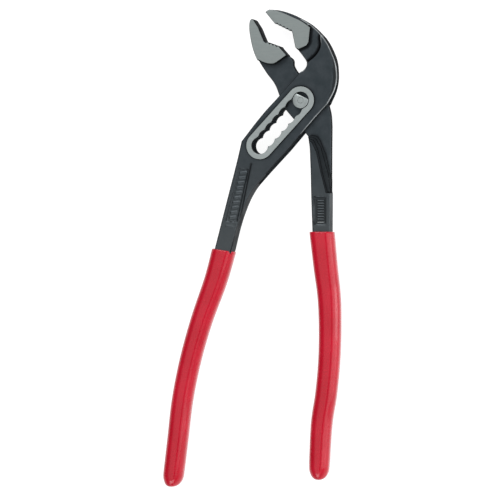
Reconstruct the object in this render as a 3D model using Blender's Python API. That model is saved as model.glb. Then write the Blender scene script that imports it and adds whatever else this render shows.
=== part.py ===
"""Tongue and groove pliers with a box joint and a notched slot.

One lever carries the slot in its two cheeks; the other passes through the gap between them and
is held by a keyed pivot that drops into one of the notches. All sizes are in millimetres
and are turned into metres as each shape is made. The pivot's axis is Z at X = Y = 0, the jaws
point to +Y, and the tool lies on its flat side on the plane Z = 0.
"""
import math

import bmesh
import bpy
from mathutils import Vector

MM = 0.001

# ---- thickness, all symmetric about the middle plane ----
THICKNESS = 12.6
MIDDLE = THICKNESS / 2
HALF_FULL = THICKNESS / 2
HALF_CHEEK = 5.8
HALF_VALLEY = 4.9
HALF_CAVITY = 2.8
HALF_NECK = 2.5
HALF_HANDLE = 4.5
HALF_TANG = 4.4
PANEL_DEPTH = 0.6
GAP = 0.3
BEYOND = 2.0
SHARP_ANGLE = math.radians(40)

# ---- the notched slot ----
SLOT_ANGLE = math.radians(47)
NOTCH_COUNT = 7
NOTCH_PITCH = 6.4
NOTCH_RADIUS = 5.3
RING_RADIUS = 8.6
SLOT_TRAVEL = NOTCH_PITCH * (NOTCH_COUNT - 1)

# ---- the pivot: two keyed studs and the rivet through them ----
STUD_RADIUS = 5.0
STUD_FLAT = 2.7
STUD_FLAT_ANGLE = math.radians(64)
STUD_SEAT_DEPTH = 0.8
RIVET_RADIUS = 1.8
ARC_STEPS = 48
NOTCH_STEPS = 8

# ---- the dipped grips ----
COAT_CORNER = 4.0
TANG_WIDTH = 10.0
TANG_END_MARGIN = 3.0
COLLAR_REACH = 20.0
CENTRELINE_STEPS = 4
CAP_STEPS = 8

# ---- jaw serrations ----
UPPER_TEETH = 5
LOWER_TEETH = 4
TOOTH_DEPTH = 0.75

CURVE_STEPS = 4
BEVEL_STEPS = 2
WELD_DISTANCE = 0.00001
CORNER = "VECTOR"
SMOOTH = "AUTO"


def corner(*points):
    """Sharp points of an outline."""
    return [(x, y, CORNER) for x, y in points]


def smooth(*points):
    """Points that an outline passes through in one flowing curve."""
    return [(x, y, SMOOTH) for x, y in points]


def slot_point(along, across):
    """A point in the slot's own directions: up along it, and across it to the upper left."""
    cos, sin = math.cos(SLOT_ANGLE), math.sin(SLOT_ANGLE)
    return (along * cos - across * sin, along * sin + across * cos)


def serration(start, end, count):
    """Saw teeth between two points, which stand to the left of the way from start to end."""
    start, end = Vector(start), Vector(end)
    step = (end - start) / count
    out = Vector((-step.y, step.x)).normalized() * TOOTH_DEPTH
    points = []
    for tooth in range(count):
        root = start + step * tooth
        points.append(tuple(root))
        points.append(tuple(root + step * 0.5 + out))
    return corner(*points, tuple(end))


# ---- outlines shared by the levers ----
UPPER_MOUTH = (corner((-22.6, 55.6)) + serration((-16.4, 48.2), (-5.3, 42.7), UPPER_TEETH)
               + corner((-3.2, 32.6), (-1.6, 31.2), (2.7, 25.5)) + smooth((3.8, 22.6), (2.1, 19.2))
               + corner((-0.6, 17.5)))
SLOTTED_LEFT_SIDE = (smooth((-13.9, 2.9), (-24.2, -8.0)) + corner((-38.2, -25.2))
                     + smooth((-41.1, -37.4), (-46.4, -57.5)) + corner((-55.6, -92.6)))
SLOTTED_RIGHT_SIDE = (corner((-44.8, -94.3)) + smooth((-38.9, -72.6), (-32.0, -57.5), (-24.0, -47.6))
                      + corner((-8.7, -31.2), (8.7, -11.3), (17.2, -2.3)))
HEAD_BACK = (smooth((21.8, 8.0), (22.6, 18.1), (20.3, 28.2), (11.2, 42.7), (-3.4, 52.8),
                    (-13.2, 56.4)) + corner((-20.3, 57.1)))
SLOTTED_OUTLINE = UPPER_MOUTH + SLOTTED_LEFT_SIDE + SLOTTED_RIGHT_SIDE + HEAD_BACK

LOWER_MOUTH = (corner((-30.4, 50.9), (-27.3, 46.1), (-23.6, 37.3))
               + serration((-22.3, 36.2), (-13.2, 32.9), LOWER_TEETH) + corner((-9.0, 28.3))
               + smooth((-5.8, 25.6), (-5.3, 21.8)) + corner((-1.4, 15.7)))
PASSING_RIGHT_SIDE = corner((18.8, -5.0), (18.5, -81.9))
PASSING_LEFT_SIDE = (corner((7.1, -81.9)) + smooth((6.4, -62.0), (5.7, -37.4), (5.0, -26.8))
                     + corner((3.8, -22.2), (-5.5, -11.3), (-10.5, -5.5)))
PASSING_BACK = (smooth((-14.4, 3.1), (-17.2, 10.0), (-23.3, 18.4), (-28.9, 27.9), (-32.3, 39.9),
                       (-33.0, 47.6)) + corner((-32.6, 50.4), (-31.4, 51.6)))
PASSING_OUTLINE = LOWER_MOUTH + PASSING_RIGHT_SIDE + PASSING_LEFT_SIDE + PASSING_BACK

# ---- levels cut into the levers ----
VALLEY_JAW_EDGE = corner((-6.0, 33.4), (-3.0, 32.9), (-1.1, 32.1), (3.8, 34.2), (5.1, 36.3), (6.2, 46.2),
                         (7.4, 50.5))
VALLEY_CHEEK_EDGE = (corner((14.5, 44.0)) + smooth((12.6, 40.0), (12.7, 34.2), (10.7, 29.5))
                     + corner((4.0, 23.4), (-1.0, 22.0)))
VALLEY_OUTLINE = VALLEY_JAW_EDGE + VALLEY_CHEEK_EDGE
CHEEK_LOWERED = corner((-6.0, 31.0), (8.0, 31.0), (8.0, 52.5), (60.0, 60.0), (60.0, -110.0),
                       (-75.0, -110.0), (-75.0, 10.0))
CAVITY_OUTLINE = corner(*(slot_point(*point) for point in (
    (-57, 30), (12.4, 30), (13.2, 11), (19.3, 0), (24, -18), (24, -40), (-57, -40))))
LEFT_PANEL = corner((-40.2, -42.2), (-33.4, -42.8), (-40.8, -76.2), (-48.6, -75.4))

NECK_LOWERED = (corner((-36.0, 21.0), (-27.0, 25.8)) + smooth((-23.2, 24.0), (-17.8, 23.2))
                + corner((-15.6, 24.0), (-8.6, 28.7), (6.0, 34.0), (30.0, 0.0), (30.0, -50.0),
                         (14.6, -48.0), (12.0, -25.4))
                + smooth((9.6, -22.6)) + corner((6.6, -21.4), (4.4, -22.8), (-30.0, -22.8)))
HANDLE_LOWERED = corner((-4.0, -18.0), (30.0, -18.0), (30.0, -100.0), (-4.0, -100.0))
RIGHT_PANEL = corner((8.4, -58.4), (15.6, -58.4), (15.6, -77.0), (8.4, -77.0))

# ---- grips: centreline points with the width there, and the collar's edge ----
LEFT_GRIP = ((-49.0, -88.0, 15.2), (-50.6, -92.8, 15.0), (-56.4, -113.0, 14.4), (-65.6, -138.2, 13.6),
             (-72.9, -163.4, 13.3), (-78.1, -188.6, 13.2), (-81.2, -213.8, 13.0), (-84.8, -242.5, 12.8))
LEFT_COLLAR = ((-57.4, -92.7), (-42.4, -94.9))
RIGHT_GRIP = ((12.2, -78.0, 15.5), (12.5, -82.7, 15.5), (14.6, -102.9, 14.9), (17.0, -123.0, 14.3),
              (17.6, -143.2, 13.8), (17.0, -163.4, 13.5), (15.1, -183.5, 13.4), (12.1, -203.7, 13.2),
              (10.3, -237.4, 12.4))
RIGHT_COLLAR = ((4.6, -82.2), (20.0, -82.2))

# ---- colours: base colour, roughness, metallic ----
FINISHES = {
    "blackened_steel": ((0.045, 0.050, 0.055), 0.42, 0.85),
    "ground_steel": ((0.42, 0.44, 0.43), 0.34, 1.0),
    "red_dipped_plastic": ((0.62, 0.02, 0.035), 0.28, 0.0),
}


def clear_scene():
    for item in list(bpy.data.objects):
        bpy.data.objects.remove(item, do_unlink=True)


def new_collection(name):
    collection = bpy.data.collections.new(name)
    bpy.context.scene.collection.children.link(collection)
    return collection


def make_material(name):
    color, roughness, metallic = FINISHES[name]
    material = bpy.data.materials.new(name)
    material.use_nodes = True
    shader = material.node_tree.nodes["Principled BSDF"]
    shader.inputs["Base Color"].default_value = (*color, 1.0)
    shader.inputs["Roughness"].default_value = roughness
    shader.inputs["Metallic"].default_value = metallic
    material.diffuse_color = (*color, 1.0)
    return material


def curve_object(name, outlines, half_thickness, bevel=0.0, centre=MIDDLE):
    """A flat filled curve; further outlines inside the first one are holes."""
    curve = bpy.data.curves.new(name, "CURVE")
    curve.dimensions = "2D"
    curve.fill_mode = "BOTH"
    curve.resolution_u = CURVE_STEPS
    curve.extrude = (half_thickness - bevel) * MM
    curve.bevel_depth = bevel * MM
    curve.bevel_resolution = BEVEL_STEPS
    for outline in outlines:
        spline = curve.splines.new("BEZIER")
        spline.bezier_points.add(len(outline) - 1)
        spline.use_cyclic_u = True
        for point, (x, y, kind) in zip(spline.bezier_points, outline):
            point.co = (x * MM, y * MM, 0)
            point.handle_left_type = kind
            point.handle_right_type = kind
    item = bpy.data.objects.new(name, curve)
    item.location.z = centre * MM
    bpy.context.scene.collection.objects.link(item)
    return item


def to_mesh(item, collection):
    """Turn a curve object into a closed mesh object with the same name and place."""
    bpy.context.view_layer.update()
    evaluated = item.evaluated_get(bpy.context.evaluated_depsgraph_get())
    mesh = bpy.data.meshes.new_from_object(evaluated)
    work = bmesh.new()
    work.from_mesh(mesh)
    bmesh.ops.remove_doubles(work, verts=work.verts, dist=WELD_DISTANCE)
    bmesh.ops.recalc_face_normals(work, faces=work.faces)
    work.to_mesh(mesh)
    work.free()
    name = item.name
    matrix = item.matrix_world.copy()
    bpy.data.objects.remove(item, do_unlink=True)
    solid = bpy.data.objects.new(name, mesh)
    solid.matrix_world = matrix
    collection.objects.link(solid)
    return solid


def boolean(target, tool, operation="DIFFERENCE"):
    step = target.modifiers.new(tool.name, "BOOLEAN")
    step.operation = operation
    step.solver = "EXACT"
    step.object = tool


class Workshop:
    """The collections and materials that every piece is made with."""

    def __init__(self):
        self.parts = new_collection("tongue_and_groove_pliers")
        self.cutters = new_collection("cutters")
        self.materials = {name: make_material(name) for name in FINISHES}

    def finish(self, item, material):
        item.data.materials.append(self.materials[material])
        item.data.shade_smooth()
        item.data.set_sharp_from_angle(angle=SHARP_ANGLE)

    def plate(self, name, outline, material):
        solid = to_mesh(curve_object(name, [outline], HALF_FULL), self.parts)
        self.finish(solid, material)
        return solid

    def cutter(self, name, outlines, half_thickness, centre=MIDDLE):
        tool = to_mesh(curve_object(name, outlines, half_thickness, centre=centre), self.cutters)
        tool.hide_render = True
        tool.display_type = "WIRE"
        return tool

    def cut_through(self, target, name, outline, half_thickness=HALF_FULL + BEYOND):
        boolean(target, self.cutter(name, [outline], half_thickness))

    def cut_level(self, target, name, outlines, half_level):
        """Take both faces of a piece down to a level inside an outline."""
        top = HALF_FULL + BEYOND
        half = (top - half_level) / 2
        offset = (top + half_level) / 2
        for side, label in ((1, "front"), (-1, "rear")):
            tool = self.cutter(f"{name}_{label}", outlines, half, centre=MIDDLE + side * offset)
            boolean(target, tool)


def circle(radius, centre=(0.0, 0.0)):
    return corner(*((centre[0] + radius * math.cos(turn), centre[1] + radius * math.sin(turn))
                    for turn in (2 * math.pi * step / ARC_STEPS for step in range(ARC_STEPS))))


def d_shape(radius, flat):
    """A circle with one flat, whose middle lies at STUD_FLAT_ANGLE."""
    half_gap = math.acos(flat / radius)
    sweep = 2 * (math.pi - half_gap)
    start = STUD_FLAT_ANGLE + half_gap
    return corner(*((radius * math.cos(start + sweep * step / ARC_STEPS),
                     radius * math.sin(start + sweep * step / ARC_STEPS)) for step in range(ARC_STEPS + 1)))


def stadium(radius):
    """The ring's outer edge: two half circles round the slot's ends, joined by straights."""
    points = []
    half = ARC_STEPS // 2
    for end, start in ((0.0, -math.pi / 2), (-SLOT_TRAVEL, math.pi / 2)):
        for step in range(half + 1):
            turn = start + math.pi * step / half
            points.append(slot_point(end + radius * math.cos(turn), radius * math.sin(turn)))
    return corner(*points)


def notched_slot():
    """Equal round notches on one line; neighbours meet in short teeth on both sides."""
    tooth = math.acos(NOTCH_PITCH / 2 / NOTCH_RADIUS)
    points = []
    for side in (1, -1):
        order = range(NOTCH_COUNT) if side < 0 else reversed(range(NOTCH_COUNT))
        for notch in order:
            centre = -NOTCH_PITCH * notch
            upper = 0.0 if notch == 0 else tooth
            lower = math.pi if notch == NOTCH_COUNT - 1 else math.pi - tooth
            start, end = (lower, upper) if side > 0 else (-upper, -lower)
            for step in range(NOTCH_STEPS):
                turn = start + (end - start) * step / NOTCH_STEPS
                points.append(slot_point(centre + NOTCH_RADIUS * math.cos(turn),
                                         NOTCH_RADIUS * math.sin(turn)))
    return corner(*points)


def centreline(knots):
    """Points and widths on a flowing curve through the knots, closely spaced."""
    rows = [Vector(knot) for knot in knots]
    rows = [rows[0] * 2 - rows[1]] + rows + [rows[-1] * 2 - rows[-2]]
    result = []
    for before, start, end, after in zip(rows, rows[1:], rows[2:], rows[3:]):
        for step in range(CENTRELINE_STEPS):
            t = step / CENTRELINE_STEPS
            result.append(0.5 * (2 * start + (end - before) * t
                                 + (2 * before - 5 * start + 4 * end - after) * t ** 2
                                 + (3 * start - before - 3 * end + after) * t ** 3))
    result.append(rows[-2])
    return result


def ribbon(knots, inset, end_margin=0.0):
    """The outline of a bar along a centreline, with a round end; inset makes it narrower."""
    rows = centreline(knots)
    left, right = [], []
    for index, row in enumerate(rows):
        ahead = rows[min(index + 1, len(rows) - 1)] - rows[max(index - 1, 0)]
        normal = Vector((-ahead.y, ahead.x)).normalized()
        half = row.z / 2 - inset
        left.append(Vector((row.x, row.y)) + normal * half)
        right.append(Vector((row.x, row.y)) - normal * half)
    way = (rows[-1] - rows[-2]).to_2d().normalized()
    normal = Vector((-way.y, way.x))
    radius = rows[-1].z / 2 - inset
    middle = rows[-1].to_2d() - way * (rows[-1].z / 2 + end_margin)
    keep = [pair for pair in zip(left, right) if ((pair[0] + pair[1]) / 2 - middle).dot(way) < 0]
    cap = [middle + normal * radius * math.cos(turn) + way * radius * math.sin(turn)
           for turn in (math.pi * step / CAP_STEPS for step in range(CAP_STEPS + 1))]
    points = [pair[0] for pair in keep] + cap + [pair[1] for pair in reversed(keep)]
    return corner(*(tuple(point) for point in points))


def above_collar(collar):
    """A large block on the head's side of a collar's edge, as an outline."""
    left, right = Vector(collar[0]), Vector(collar[1])
    along = (right - left).normalized()
    up = Vector((-along.y, along.x))
    near_left, near_right = left - along * COLLAR_REACH, right + along * COLLAR_REACH
    return corner(tuple(near_left), tuple(near_right), tuple(near_right + up * COLLAR_REACH),
                  tuple(near_left + up * COLLAR_REACH))


def tang_outline(knots, clearance=0.0):
    """The bar inside a grip, which stops short of the grip's end."""
    bar_knots = tuple((x, y, TANG_WIDTH) for x, y, _ in knots)
    return ribbon(bar_knots, -clearance, TANG_END_MARGIN)


def add_tang(shop, lever, knots, side):
    """The bar of a lever that its grip is dipped on: it starts inside the lever's neck."""
    bar = shop.cutter(f"{side}_tang", [tang_outline(knots)], HALF_TANG)
    boolean(lever, bar, "UNION")


def slotted_lever(shop):
    lever = shop.plate("slotted_lever", SLOTTED_OUTLINE, "blackened_steel")
    shop.cut_level(lever, "cheek_face", [CHEEK_LOWERED, stadium(RING_RADIUS)], HALF_CHEEK)
    shop.cut_level(lever, "jaw_valley", [VALLEY_OUTLINE], HALF_VALLEY)
    shop.cut_level(lever, "left_panel", [LEFT_PANEL], HALF_CHEEK - PANEL_DEPTH)
    shop.cut_through(lever, "passage", CAVITY_OUTLINE, HALF_CAVITY)
    shop.cut_through(lever, "notched_slot", notched_slot())
    add_tang(shop, lever, LEFT_GRIP, "left")


def passing_lever(shop):
    lever = shop.plate("passing_lever", PASSING_OUTLINE, "blackened_steel")
    shop.cut_level(lever, "neck_face", [NECK_LOWERED], HALF_NECK)
    shop.cut_level(lever, "handle_face", [HANDLE_LOWERED], HALF_HANDLE)
    shop.cut_level(lever, "right_panel", [RIGHT_PANEL], HALF_HANDLE - PANEL_DEPTH)
    seat = d_shape(STUD_RADIUS + GAP, STUD_FLAT + GAP)
    shop.cut_level(lever, "stud_seat", [seat], HALF_NECK - STUD_SEAT_DEPTH - GAP)
    shop.cut_through(lever, "rivet_bore", circle(RIVET_RADIUS + GAP))
    add_tang(shop, lever, RIGHT_GRIP, "right")


def stud(shop, name, side):
    """A D-shaped stud that locks in a notch; it is keyed in the passing lever's face."""
    low = HALF_NECK - STUD_SEAT_DEPTH
    outlines = [d_shape(STUD_RADIUS, STUD_FLAT), circle(RIVET_RADIUS + GAP)]
    centre = MIDDLE + side * (low + HALF_FULL) / 2
    item = to_mesh(curve_object(name, outlines, (HALF_FULL - low) / 2, centre=centre), shop.parts)
    shop.finish(item, "ground_steel")


def rivet(shop):
    bpy.ops.mesh.primitive_cylinder_add(vertices=ARC_STEPS, radius=RIVET_RADIUS * MM,
                                        depth=THICKNESS * MM, location=(0, 0, MIDDLE * MM))
    item = bpy.context.active_object
    item.name = "pivot_rivet"
    for collection in list(item.users_collection):
        collection.objects.unlink(item)
    shop.parts.objects.link(item)
    shop.finish(item, "ground_steel")


def grip(shop, name, knots, collar):
    """A dipped sleeve: a rounded bar, hollow for its tang and cut flat at the collar."""
    outline = ribbon(knots, COAT_CORNER)
    sleeve = to_mesh(curve_object(name, [outline], HALF_FULL, bevel=COAT_CORNER), shop.parts)
    shop.cut_through(sleeve, f"{name}_hollow", tang_outline(knots, GAP), HALF_TANG + GAP)
    shop.cut_through(sleeve, f"{name}_collar", above_collar(collar))
    shop.finish(sleeve, "red_dipped_plastic")


def main():
    clear_scene()
    shop = Workshop()
    slotted_lever(shop)
    passing_lever(shop)
    stud(shop, "front_locking_stud", 1)
    stud(shop, "rear_locking_stud", -1)
    rivet(shop)
    grip(shop, "left_grip_sleeve", LEFT_GRIP, LEFT_COLLAR)
    grip(shop, "right_grip_sleeve", RIGHT_GRIP, RIGHT_COLLAR)


main()
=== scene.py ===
"""Looks of the tongue and groove pliers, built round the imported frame.

Both levers are forgings that are alike on their two faces, so each is made as a relief: an
outline is filled with fine triangles and every point gets its height above the middle plane
from a formula for levels, ramps and rounded edges. Lengths are in millimetres until a mesh is
made, and the frame is the CAD's: the pivot's axis is Z, and the jaws point to +Y.
"""
import math

import bmesh
import bpy
import numpy as np
from mathutils import Matrix, Vector
from mathutils.geometry import delaunay_2d_cdt


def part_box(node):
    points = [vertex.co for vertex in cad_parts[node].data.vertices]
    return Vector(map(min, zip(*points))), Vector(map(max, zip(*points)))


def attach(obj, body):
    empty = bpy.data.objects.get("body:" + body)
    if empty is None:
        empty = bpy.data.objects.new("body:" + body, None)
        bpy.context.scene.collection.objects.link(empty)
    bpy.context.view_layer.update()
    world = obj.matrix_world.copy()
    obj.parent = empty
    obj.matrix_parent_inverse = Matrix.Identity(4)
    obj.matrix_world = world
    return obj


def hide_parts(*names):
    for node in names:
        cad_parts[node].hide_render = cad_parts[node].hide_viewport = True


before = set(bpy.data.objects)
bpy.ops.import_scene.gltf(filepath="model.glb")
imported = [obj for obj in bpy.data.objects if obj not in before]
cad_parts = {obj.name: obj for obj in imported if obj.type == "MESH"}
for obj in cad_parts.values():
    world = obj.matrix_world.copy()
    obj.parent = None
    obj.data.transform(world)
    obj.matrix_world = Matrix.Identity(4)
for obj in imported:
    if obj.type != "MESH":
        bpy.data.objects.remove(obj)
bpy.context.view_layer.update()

MM = 0.001

# ---- the CAD's sizes: the thickness is read from the frame, the others repeat it ----
THICKNESS = (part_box("pivot_rivet")[1].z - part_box("pivot_rivet")[0].z) / MM
MIDDLE = THICKNESS / 2
HALF_FULL = THICKNESS / 2
HALF_CHEEK = 5.8
HALF_VALLEY = 4.7
HALF_PASSAGE = 2.8
HALF_NECK = 2.5
HALF_TANG = 4.3
PANEL_DEPTH = 0.7
RIB_HEIGHT = 0.5

SLOT_ANGLE = math.radians(47)
NOTCH_COUNT = 7
NOTCH_PITCH = 6.4
NOTCH_RADIUS = 5.3
RING_RADIUS = 8.6
SLOT_TRAVEL = NOTCH_PITCH * (NOTCH_COUNT - 1)

STUD_RADIUS = 5.0
STUD_FLAT = 2.7
STUD_FLAT_ANGLE = math.radians(64)
STUD_BOTTOM = 1.7
STUD_CHAMFER = 0.22
BORE_CHAMFER = 0.05
RIVET_RADIUS = 1.8
RIVET_BORE_RADIUS = 1.88
JAWS_FROM_Y = 20.0

UPPER_TEETH = 5
LOWER_TEETH = 4
TOOTH_DEPTH = 0.95
TANG_WIDTH = 9.6
COAT_CORNER = 5.2

# ---- fineness of the meshes ----
CURVE_STEPS = 12
EDGE_SPACING = 0.6
GRID_SPACING = 1.3
FINE_SPACING = 0.33
EDGE_DEPTHS = (0.08, 0.22, 0.45, 0.8, 1.3, 1.9, 2.5)
HOLE_DEPTHS = (0.12, 0.3)
NOTCH_STEPS = 12
ARC_STEPS = 96
RIVET_STEPS = 48
CREASE_ANGLE = math.radians(38)

# ---- the photograph's view: a long lens tilted to the passing lever's side ----
CAMERA_TILT = math.radians(14)
CAMERA_DISTANCE = 1.75
CAMERA_TARGET = Vector((-0.03403, -0.09359, 0.0063))
CAMERA_LENS = 200.0
WALL_ROUGHNESS = 0.6

# ---- the studio: pairs of a direction's place from 0 to 1 and the sky's brightness there ----
SKY_BY_HEIGHT = ((0.0, 1.0), (0.25, 0.75), (0.45, 0.2), (0.78, 0.4), (0.92, 0.95), (1.0, 1.0))
SKY_BY_SIDE = ((0.0, 0.1), (0.125, 0.25), (0.3, 1.0), (0.47, 1.0), (0.49, 0.0), (0.59, 0.0),
               (0.615, 1.0), (1.0, 1.0))
LIGHT_TARGET = (-0.03, -0.09, 0.0)
AREA_LIGHTS = (("far_softbox", (-0.25, 1.2, 1.2), (1.0, 0.7), 15),
               ("near_softbox", (-0.2, -1.4, 1.1), (1.0, 0.7), 9),
               ("right_strip", (1.4, -0.1, 0.18), (0.28, 1.8), 5),
               ("right_softbox", (1.25, -0.1, 0.85), (0.9, 1.8), 8))

CORNER = "VECTOR"
SMOOTH = "AUTO"

# ---- colours, linear ----
BLACK_DARK, BLACK_LIGHT = (0.042, 0.053, 0.060), (0.061, 0.072, 0.081)
# painted sheen: the handles' black is painted paler towards the grips
BLACK_PAINTED_SHEEN = (0.083, 0.094, 0.100)
# painted light on the black steel: shade on side walls, shade at steps and in folds, and highlights on
# edges
BLACK_SHADED_WALL, BLACK_PAINTED_SHADE, BLACK_PAINTED_HIGHLIGHT = (0.034, 0.037, 0.040), (0.006, 0.007, 0.008), (0.50, 0.53, 0.54)
# the last of these is painted shade for the ground steel's side walls
JAW_DARK, JAW_LIGHT, STEEL_SHADED_WALL = (0.262, 0.295, 0.292), (0.306, 0.340, 0.336), (0.11, 0.12, 0.122)
# painted highlight: the ring, studs and rivet are painted brighter than the jaws' ground steel
RING_DARK, RING_LIGHT = (0.35, 0.39, 0.388), (0.41, 0.452, 0.45)
RED_DARK, RED_LIGHT = (0.46, 0.005, 0.019), (0.54, 0.008, 0.027)


# ---- outlines ----

def corner(*points):
    """Sharp points of an outline."""
    return [(x, y, CORNER) for x, y in points]


def smooth(*points):
    """Points that an outline passes through in one flowing curve."""
    return [(x, y, SMOOTH) for x, y in points]


def slot_point(along, across):
    """A point in the slot's own directions: up along it, and across it to the upper left."""
    cos, sin = math.cos(SLOT_ANGLE), math.sin(SLOT_ANGLE)
    return (along * cos - across * sin, along * sin + across * cos)


def serration(start, end, count):
    """Saw teeth between two points, which stand to the left of the way from start to end."""
    start, end = Vector(start), Vector(end)
    step = (end - start) / count
    out = Vector((-step.y, step.x)).normalized() * TOOTH_DEPTH
    points = []
    for tooth in range(count):
        root = start + step * tooth
        points.append(tuple(root))
        points.append(tuple(root + step * 0.5 + out))
    return corner(*points, tuple(end))


def loop_of(knots):
    """The closed outline through corner and smooth knots, as an array of close points."""
    curve = bpy.data.curves.new("outline", "CURVE")
    curve.dimensions = "2D"
    curve.fill_mode = "NONE"
    curve.resolution_u = CURVE_STEPS
    spline = curve.splines.new("BEZIER")
    spline.bezier_points.add(len(knots) - 1)
    spline.use_cyclic_u = True
    for point, (x, y, kind) in zip(spline.bezier_points, knots):
        point.co = (x, y, 0)
        point.handle_left_type = kind
        point.handle_right_type = kind
    item = bpy.data.objects.new("outline", curve)
    bpy.context.scene.collection.objects.link(item)
    evaluated = item.evaluated_get(bpy.context.evaluated_depsgraph_get())
    mesh = bpy.data.meshes.new_from_object(evaluated)
    points = [Vector(vertex.co[:2]) for vertex in mesh.vertices]
    bpy.data.objects.remove(item, do_unlink=True)
    bpy.data.meshes.remove(mesh)
    return closely_spaced(points)


def closely_spaced(points):
    """The same closed outline with no step longer than EDGE_SPACING."""
    result = []
    for index, point in enumerate(points):
        ahead = points[(index + 1) % len(points)]
        length = (ahead - point).length
        if length < 1e-4:
            continue
        count = max(1, math.ceil(length / EDGE_SPACING))
        result.extend(point.lerp(ahead, step / count) for step in range(count))
    return np.array([tuple(point) for point in result])


def circle(radius):
    turns = np.linspace(0, 2 * math.pi, RIVET_STEPS, endpoint=False)
    return np.stack([radius * np.cos(turns), radius * np.sin(turns)], axis=1)


def d_shape(radius, flat):
    """A circle with one flat, whose middle lies at STUD_FLAT_ANGLE."""
    half_gap = math.acos(flat / radius)
    turns = STUD_FLAT_ANGLE + half_gap + np.linspace(0, 2 * (math.pi - half_gap), ARC_STEPS)
    return np.stack([radius * np.cos(turns), radius * np.sin(turns)], axis=1)


def notched_slot():
    """Equal round notches on one line; neighbours meet in short teeth on both sides."""
    tooth = math.acos(NOTCH_PITCH / 2 / NOTCH_RADIUS)
    points = []
    for side in (1, -1):
        order = range(NOTCH_COUNT) if side < 0 else reversed(range(NOTCH_COUNT))
        for notch in order:
            centre = -NOTCH_PITCH * notch
            upper = 0.0 if notch == 0 else tooth
            lower = math.pi if notch == NOTCH_COUNT - 1 else math.pi - tooth
            start, end = (lower, upper) if side > 0 else (-upper, -lower)
            for turn in np.linspace(start, end, NOTCH_STEPS, endpoint=False):
                points.append(slot_point(centre + NOTCH_RADIUS * math.cos(turn),
                                         NOTCH_RADIUS * math.sin(turn)))
    return np.array(points)


def stadium(radius):
    """An outline at one distance round the slot's middle line."""
    points = []
    for end, start in ((0.0, -math.pi / 2), (-SLOT_TRAVEL, math.pi / 2)):
        for turn in np.linspace(start, start + math.pi, ARC_STEPS // 2):
            points.append(Vector(slot_point(end + radius * math.cos(turn), radius * math.sin(turn))))
    return closely_spaced(points)


def centreline(knots, steps):
    """Points and widths on a flowing curve through the knots, closely spaced."""
    rows = [Vector(knot) for knot in knots]
    rows = [rows[0] * 2 - rows[1]] + rows + [rows[-1] * 2 - rows[-2]]
    result = []
    for before, start, end, after in zip(rows, rows[1:], rows[2:], rows[3:]):
        for share in np.linspace(0, 1, steps, endpoint=False):
            result.append(0.5 * (2 * start + (end - before) * share
                                 + (2 * before - 5 * start + 4 * end - after) * share ** 2
                                 + (3 * start - before - 3 * end + after) * share ** 3))
    result.append(rows[-2])
    return result


# ---- grips: centreline points with the width there, and the collar's edge ----
LEFT_GRIP = ((-49.0, -88.0, 15.2), (-50.6, -92.8, 15.0), (-56.4, -113.0, 14.4), (-65.6, -138.2, 13.6),
             (-72.9, -163.4, 13.3), (-78.1, -188.6, 13.2), (-81.2, -213.8, 13.0), (-84.9, -243.7, 12.8))
LEFT_COLLAR = ((-57.4, -92.7), (-42.4, -94.9))
RIGHT_GRIP = ((12.2, -78.0, 15.5), (12.5, -82.7, 15.5), (14.6, -102.9, 14.9), (17.0, -123.0, 14.3),
              (17.6, -143.2, 13.8), (17.0, -163.4, 13.5), (15.1, -183.5, 13.4), (12.1, -203.7, 13.2),
              (10.3, -237.4, 12.4))
RIGHT_COLLAR = ((4.6, -82.2), (20.0, -82.2))


def tang_sides(knots, start):
    """Both edges of the bar inside a grip, from start knots on, as two lists of knots."""
    rows = [row for row in centreline(knots, 4) if row.y < start]
    left, right = [], []
    for index, row in enumerate(rows[:-1]):
        way = (rows[index + 1] - row).to_2d().normalized()
        side = Vector((-way.y, way.x)) * TANG_WIDTH / 2
        left.append(tuple(row.to_2d() - side))
        right.append(tuple(row.to_2d() + side))
    return left, right


def tang_loop(knots, start):
    """The tang's edges joined at the far end, down the left one and up the right one."""
    left, right = tang_sides(knots, start)
    return smooth(*left[1:-1]) + corner(left[-1], right[-1]) + smooth(*reversed(right[1:-1]))


UPPER_MOUTH = (corner((-22.6, 55.6)) + serration((-16.4, 48.2), (-5.3, 42.7), UPPER_TEETH)
               + corner((-3.2, 32.6), (-1.6, 31.2), (2.7, 25.5)) + smooth((3.8, 22.6), (2.1, 19.2))
               + corner((-0.6, 17.5)))
SLOTTED_LEFT_SIDE = (smooth((-13.9, 2.9), (-24.2, -8.0)) + corner((-38.2, -25.2))
                     + smooth((-41.1, -37.4), (-46.4, -57.5)) + corner((-55.6, -92.6), (-57.4, -99.6)))
SLOTTED_RIGHT_SIDE = (corner((-46.4, -101.4), (-44.8, -94.3))
                      + smooth((-38.9, -72.6), (-32.0, -57.5), (-24.0, -47.6))
                      + corner((-8.7, -31.2), (8.7, -11.3), (17.2, -2.3)))
HEAD_BACK = (smooth((21.8, 8.0), (22.6, 18.1), (20.3, 28.2), (11.2, 42.7), (-3.4, 52.8),
                    (-13.2, 56.4)) + corner((-20.3, 57.1)))

LOWER_MOUTH = (corner((-30.4, 50.9), (-27.3, 46.1), (-23.6, 37.3))
               + serration((-22.3, 36.2), (-13.2, 32.9), LOWER_TEETH) + corner((-9.0, 28.3))
               + smooth((-5.8, 25.6), (-5.3, 21.8)) + corner((-1.4, 15.7)))
PASSING_RIGHT_SIDE = (corner((17.0, -3.2)) + smooth((18.3, -9.0)) + corner((18.8, -16.0))
                      + corner((18.5, -81.9), (19.0, -88.6)))
PASSING_LEFT_SIDE = (corner((7.6, -88.6), (7.1, -81.9))
                     + smooth((6.4, -62.0), (5.7, -37.4), (5.0, -26.8))
                     + corner((3.8, -22.2), (-5.5, -11.3), (-10.5, -5.5)))
PASSING_BACK = (smooth((-14.4, 3.1), (-17.2, 10.0), (-23.3, 18.4), (-28.9, 27.9), (-32.3, 39.9),
                       (-33.0, 47.6)) + corner((-32.6, 50.4), (-31.4, 51.6)))

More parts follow.
